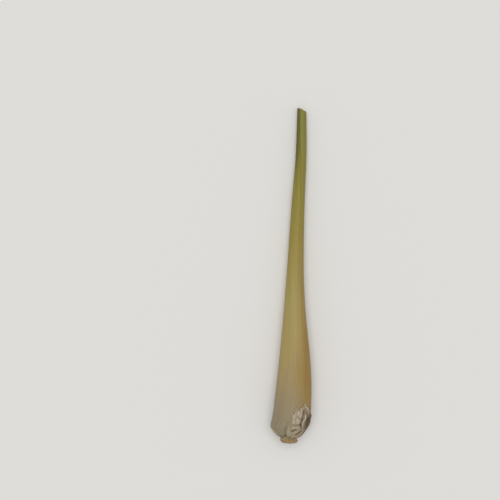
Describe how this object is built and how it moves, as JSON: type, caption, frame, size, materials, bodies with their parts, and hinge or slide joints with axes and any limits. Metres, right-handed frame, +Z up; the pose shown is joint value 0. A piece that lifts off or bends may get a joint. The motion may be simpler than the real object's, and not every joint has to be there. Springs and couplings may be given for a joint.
{
  "type": "lemongrass stalk",
  "caption": "Cut lemongrass stalk lying on its side: a swollen pale bulb with a trimmed root stub and torn sheath, tapering along wrapped leaf sheaths to a slantwise cut green tip.",
  "frame": {"origin": "middle of the bounding box's underside, on the surface that the stalk lies on", "axes": "+Y along the stalk from its cut root end to its tip, +Z up from the surface, X across the stalk"},
  "size_m": [0.026, 0.215, 0.0226],
  "materials": {
    "root_plate": "matt fibrous cut stem, tan to orange-brown",
    "outer_sheath": "soft waxy leaf sheath with fine veins, cream at the bulb to olive green at the tip",
    "second_sheath": "paler waxy leaf sheath with fine veins",
    "inner_roll": "pale moist young leaf",
    "torn_sheath": "dry papery sheath, frayed and bleached"
  },
  "bodies": {
    "root": {"root_plate": "root_plate", "outer_sheath": "outer_sheath", "second_sheath": "second_sheath", "inner_roll": "inner_roll", "torn_sheath": "torn_sheath"}
  },
  "joints": []
}
